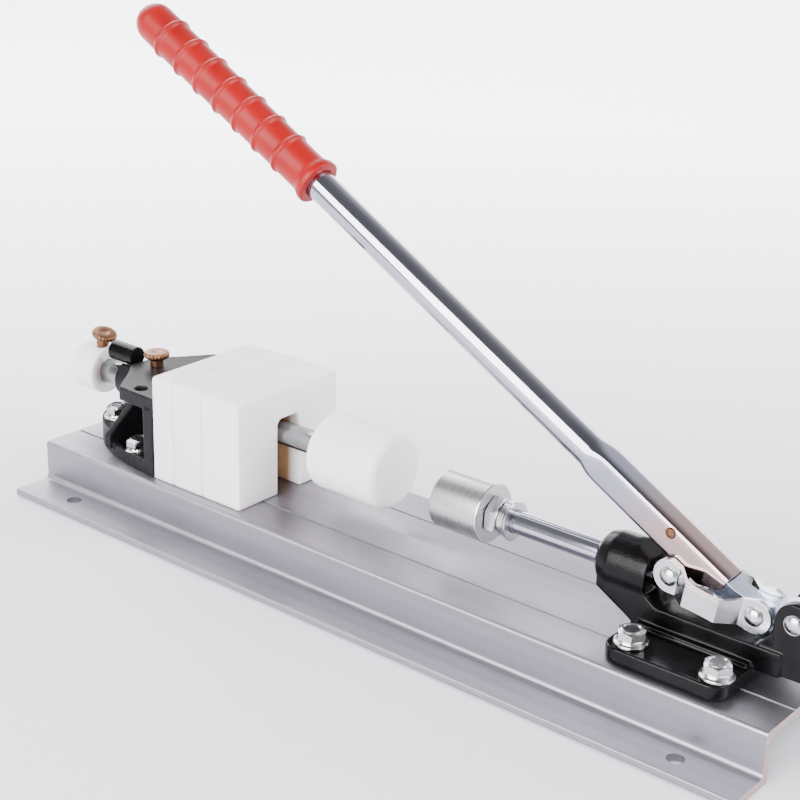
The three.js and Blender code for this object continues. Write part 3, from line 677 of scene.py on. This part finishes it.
TUBE_AXIS = -19.4
TUBE = {"mouth": -37, "flat_end": -118, "round_start": -132, "end": -489, "radius": 8.5, "wall": 1.5}
RIVET = {"x": -72.5, "z": TUBE_AXIS + 4, "radius": 2.6}
GRIP = {"start": -342, "end": -497, "radius": 11.4, "rib": 12.6, "flange": 13.4, "ribs": 7, "pitch": 17.2}
HANDLE_TURN = Matrix.Rotation(HANDLE_ANGLE, 3, "Y")
ALONG_HANDLE = HANDLE_TURN @ AXES["x"]


def on_handle(x, z):
    return PIVOT + HANDLE_TURN @ Vector((x, 0, z))


def tube_ring(build, x, half_width, half_height, squareness):
    ring = []
    for i in range(FINE):
        turn = 2 * math.pi * i / FINE
        c, s = math.cos(turn), math.sin(turn)
        y = math.copysign(abs(c) ** (2 / squareness), c) * half_width
        z = math.copysign(abs(s) ** (2 / squareness), s) * half_height
        ring.append(build.verts.new((PIVOT + HANDLE_TURN @ Vector((x, y, z + TUBE_AXIS))) * MM))
    return ring


def handle_tube():
    """Round tube, pressed to a squared section where the lever's tang goes in."""
    radius, wall = TUBE["radius"], TUBE["wall"]
    stations = [(TUBE["mouth"], 1.0), (TUBE["flat_end"], 1.0)]
    steps = 8
    for i in range(1, steps + 1):
        ease = (1 - math.cos(math.pi * i / steps)) / 2
        stations.append((TUBE["flat_end"] + (TUBE["round_start"] - TUBE["flat_end"]) * i / steps, 1 - ease))
    stations.append((TUBE["end"], 0.0))
    build = bmesh.new()
    rings = []
    for shrink, order in ((0, stations), (wall, list(reversed(stations)))):
        for x, squared in order:
            width = radius - 0.5 * squared - shrink
            rings.append(tube_ring(build, x, width, radius - shrink, 2 + 3 * squared))
    for i, a in enumerate(rings):
        b = rings[(i + 1) % len(rings)]
        for j in range(FINE):
            k = (j + 1) % FINE
            build.faces.new([a[j], a[k], b[k], b[j]])
    tube = object_from("handle_tube_fine", build)
    hole = rod("hole", RIVET["radius"] + 0.3, -20, 20, on_handle(RIVET["x"], RIVET["z"]), AXES["y"])
    below = TUBE_AXIS - radius - 1
    corners = [on_handle(x, z) for x, z in ((TUBE["mouth"] + 1, TUBE_AXIS + 1), (TUBE["mouth"] - 14, below),
                                            (TUBE["mouth"] + 1, below))]
    slant = extruded("slant", [(c.x, c.z) for c in corners], "y", -20, 20)
    return shaded(cut(tube, hole, slant), 30)


def handle_rivet():
    half = high("handle_rivet").y
    r = RIVET["radius"]
    end = [(half - 0.5, 0), (half - 0.5, r - 1.0), (half, r - 0.7), (half, r - 0.3), (half - 0.3, r)]
    profile = [(-a, b) for a, b in end] + list(reversed(end))
    origin = on_handle(RIVET["x"], RIVET["z"])
    return shaded(turned("handle_rivet_fine", profile, origin, AXES["y"], SMALL), 30)


def handle_grip():
    start, end, radius = GRIP["start"], GRIP["end"], GRIP["radius"]
    profile = [(start - 0.2, TUBE["radius"] + 0.3), (start, TUBE["radius"] + 1.0),
               (start, GRIP["flange"] - 0.8), (start - 0.8, GRIP["flange"]),
               (start - 3.6, GRIP["flange"] - 0.1),
               (start - 5.6, radius + 0.9), (start - 8.4, radius)]
    bead = 2.6
    for i in range(1, GRIP["ribs"] + 1):
        x = start - 8.5 - i * GRIP["pitch"]
        for step in range(9):
            t = -1 + step / 4
            profile.append((x - t * bead, radius + (GRIP["rib"] - radius) * (math.cos(math.pi * t) + 1) / 2))
    for i in range(13):
        turn = math.pi / 2 * i / 12
        profile.append((end + radius * (1 - math.sin(turn)), radius * math.cos(turn) if i < 12 else 0))
    profile += [(TUBE["end"] - 0.3, 0), (TUBE["end"] - 0.3, TUBE["radius"] + 0.3)]
    origin = on_handle(0, TUBE_AXIS)
    return shaded(turned("handle_grip_fine", profile, origin, ALONG_HANDLE, FINE, closed=True), 50)


# ---------------------------------------------------------------- assembly

SATIN_BLACK = painted_casting("satin black casting", colour(0.0045, 0.0045, 0.0055), 0.40, 0.18)
GLOSS_BLACK = painted_casting("gloss black casting", colour(0.0006, 0.0006, 0.0009), 0.15, 0.20)
ZINC = plated("bright zinc plate", colour(0.60, 0.605, 0.62), 0.14, 0.28)
LEVER_STEEL = plated("blue passivated zinc", colour(0.50, 0.56, 0.70), 0.12, 0.24)
DARK = plated("blackened steel", colour(0.06, 0.06, 0.065), 0.35, 0.5)
CHROME = chrome("chrome plate")
# Painted reflection: from the squared part on, the tube's skin turns lavender, and pinkish near the lever.
# This stands in for the reflected surroundings and the warm reflection of the base below.
TUBE_CHROME = chrome("chrome plate, painted reflection tints", [
    (on_handle(-150, TUBE_AXIS), on_handle(-120, TUBE_AXIS), colour(0.34, 0.34, 0.42)),
    (on_handle(-105, TUBE_AXIS), on_handle(-75, TUBE_AXIS), colour(0.40, 0.30, 0.29)),
])
BRASS = brass()
WHITE = nylon("natural nylon", False)
BLOCK_WHITE = nylon("milled nylon slab", True)

placed(rail_piece(), rail_aluminium(), "rail_aluminium", "press_frame", "rail")
placed(cast("end_bracket", "end_bracket_fine", 0.65, 6), SATIN_BLACK, "cast_satin_black", "press_frame",
       "end_bracket")
placed(cast("clamp_body", "clamp_body_fine", 0.6, 10), GLOSS_BLACK, "cast_gloss_black", "press_frame",
       "clamp_body")

barrel_low, barrel_high = low("bracket_barrel"), high("bracket_barrel")
barrel_length = barrel_high.x - barrel_low.x
barrel_radius = (barrel_high.y - barrel_low.y) / 2
barrel_edge = 0.8
barrel_profile = [(0, 0), (0, barrel_radius - barrel_edge), (barrel_edge, barrel_radius),
                  (barrel_length - barrel_edge, barrel_radius),
                  (barrel_length, barrel_radius - barrel_edge), (barrel_length, 0)]
barrel_start = Vector((barrel_low.x, 0, middle("bracket_barrel").z))
barrel = shaded(turned("bracket_barrel_fine", barrel_profile, barrel_start, AXES["x"]), 30)
placed(barrel, GLOSS_BLACK, "cast_satin_black", "press_frame", "bracket_barrel")

for bolt in bolt_names():
    nut = bolt.replace("bolt", "nut")
    placed(flange_bolt(bolt), ZINC, "zinc_plate", "press_frame", bolt)
    placed(flange_nut(nut), ZINC, "zinc_plate", "press_frame", nut)

for i in (1, 2, 3):
    placed(spacer_block(f"spacer_block_{i}"), BLOCK_WHITE, "nylon", f"block_{i}", f"spacer_block_{i}")

ROD_END = high("push_rod").x
placed(push_rod(), ground_steel(ROD_AXIS * MM, AXES["x"]), "ground_steel", "push_rod_unit", "push_rod")
stop_pin = rod("rod_stop_pin_fine", STOP_PIN["radius"], -STOP_PIN["half_length"], STOP_PIN["half_length"],
               middle("rod_stop_pin"), AXES["z"])
placed(stop_pin, DARK, "dark_steel", "push_rod_unit", "rod_stop_pin")
head = soft_disc("push_head_fine", "push_head", PUSH_HEAD_RADIUS, 4.5, ROD_BORE, low("push_head").x - 1,
                 ROD_END + 0.3)
placed(head, WHITE, "nylon", "push_rod_unit", "push_head")
cap = soft_disc("push_cap_fine", "push_cap", PUSH_CAP_RADIUS, 1.8, ROD_BORE, low("push_rod").x - 0.3,
                high("push_cap").x + 1)
CAP_AXIS = Vector((math.sin(CAP_SCREW["tilt"]), 0, math.cos(CAP_SCREW["tilt"])))
CAP_SEAT = Vector((middle("rail").x + CAP_SCREW["x"], 0, CAP_SCREW["z"]))
cap = shaded(cut(cap, rod("screw_hole", CAP_SCREW["hole"], -12, 6, CAP_SEAT, CAP_AXIS)), 35)
placed(cap, WHITE, "nylon", "push_rod_unit", "push_cap")
placed(thumb_screw("cap_thumb_screw_fine", CAP_SEAT, CAP_AXIS, CAP_SCREW["stem"]), BRASS, "brass",
       "cap_screw", "cap_thumb_screw")
bracket_seat = Vector((middle("bracket_thumb_screw").x, 0, high("end_bracket").z))
stem = low("bracket_thumb_screw").z - bracket_seat.z
placed(thumb_screw("bracket_thumb_screw_fine", bracket_seat, AXES["z"], stem), BRASS, "brass",
       "bracket_screw", "bracket_thumb_screw")

placed(plunger(), CHROME, "ground_steel", "plunger_unit", "plunger")
placed(pressure_head(), turned_aluminium(PLUNGER_AXIS * MM, AXES["x"]), "head_aluminium", "plunger_unit",
       "pressure_head")
placed(jam_nut(), ZINC, "zinc_plate", "plunger_unit", "head_jam_nut")
placed(plunger_ring("plunger_collar", COLLAR_RADIUS), ZINC, "zinc_plate", "plunger_unit", "plunger_collar")
placed(plunger_ring("plunger_washer", WASHER_RADIUS), ZINC, "zinc_plate", "plunger_unit", "plunger_washer")

placed(domed_pin("handle_pivot_pin"), ZINC, "zinc_plate", "press_frame", "handle_pivot_pin")
for node in ("link_near", "link_far"):
    placed(softened_copy(node, 0.7, 3), ZINC, "zinc_plate", "links", node)
for node in ("drive_pin", "link_pin"):
    placed(domed_pin(node), ZINC, "zinc_plate", "links", node)

placed(softened_copy("lever", 0.8, 3), LEVER_STEEL, "lever_steel", "handle", "lever")
placed(handle_tube(), TUBE_CHROME, "chrome_tube", "handle", "handle_tube")
placed(handle_rivet(), BRASS, "brass", "handle", "handle_rivet")
placed(handle_grip(), vinyl(), "red_vinyl", "handle", "handle_grip")


# ---------------------------------------------------------------- studio

def floor():
    build = bmesh.new()
    bmesh.ops.create_grid(build, x_segments=1, y_segments=1, size=20)
    plane = object_from("studio_floor", build)
    plane.location.z = -0.0004
    plane.data.materials.append(floor_paper())


def softbox(name, place, aim, size, watts, tint=(1, 1, 1)):
    light = bpy.data.lights.new(name, "AREA")
    light.shape = "RECTANGLE"
    light.size, light.size_y = size
    light.energy = watts
    light.color = tint
    lamp = bpy.data.objects.new(name, light)
    lamp.location = place
    lamp.visible_camera = False
    lamp.rotation_euler = (Vector(aim) - Vector(place)).to_track_quat("-Z", "Y").to_euler()
    bpy.context.scene.collection.objects.link(lamp)


def world(strength):
    """A pale room behind and round the horizon, darkening towards a point above the front."""
    space = bpy.data.worlds.new("studio surround")
    space.use_nodes = True
    tree = space.node_tree
    back = tree.nodes["Background"]
    back.inputs["Strength"].default_value = strength
    place = tree.nodes.new("ShaderNodeTexCoord")
    darkest = tree.nodes.new("ShaderNodeVectorMath")
    darkest.operation = "DOT_PRODUCT"
    darkest.inputs[1].default_value = Vector((0.1, -0.42, 0.9)).normalized()
    ramp = tree.nodes.new("ShaderNodeValToRGB")
    stops = ramp.color_ramp.elements
    stops[0].position, stops[0].color = 0.0, colour(1.0, 1.0, 1.02)
    stops[1].position, stops[1].color = 1.0, colour(0.10, 0.10, 0.105)
    for nearness, level in ((0.3, 0.42), (0.55, 0.26), (0.8, 0.14)):
        stop = stops.new(nearness)
        stop.color = colour(level, level, level * 1.02)
    tree.links.new(place.outputs["Generated"], darkest.inputs[0])
    tree.links.new(darkest.outputs["Value"], ramp.inputs[0])
    tree.links.new(ramp.outputs[0], back.inputs[0])
    bpy.context.scene.world = space


def camera():
    """Close three-quarter view from the clamp's near side, as a product photograph is taken."""
    lens = bpy.data.cameras.new("camera")
    lens.sensor_width = 36
    lens.lens = 76.72
    eye = bpy.data.objects.new("camera", lens)
    azimuth, roll = math.radians(39.052), math.radians(1.577)
    forward = Vector((-0.58768448, 0.72437307, -0.36043113)).normalized()
    level = Vector((math.cos(azimuth), math.sin(azimuth), 0))
    above = level.cross(forward)
    right = level * math.cos(roll) + above * math.sin(roll)
    up = above * math.cos(roll) - level * math.sin(roll)
    turn = Matrix((right, up, -forward)).transposed().to_4x4()
    eye.matrix_world = Matrix.Translation((0.54285, -0.66897, 0.43968)) @ turn
    bpy.context.scene.collection.objects.link(eye)
    bpy.context.scene.camera = eye


floor()
world(2.2)
softbox("front", (0.02, -1.7, 0.85), (0.05, 0, 0.1), (1.75, 1.5), 108, (0.99, 0.98, 1.0))
softbox("right", (1.7, 0.5, 1.5), (0, 0, 0), (1.4, 1.4), 66, (1.0, 0.985, 0.97))
softbox("left", (-1.6, 0.6, 1.2), (0, 0, 0), (1.4, 1.4), 40)
softbox("back", (-0.4, 2.6, 0.9), (0, 0.2, 0), (3.0, 0.8), 30)
camera()
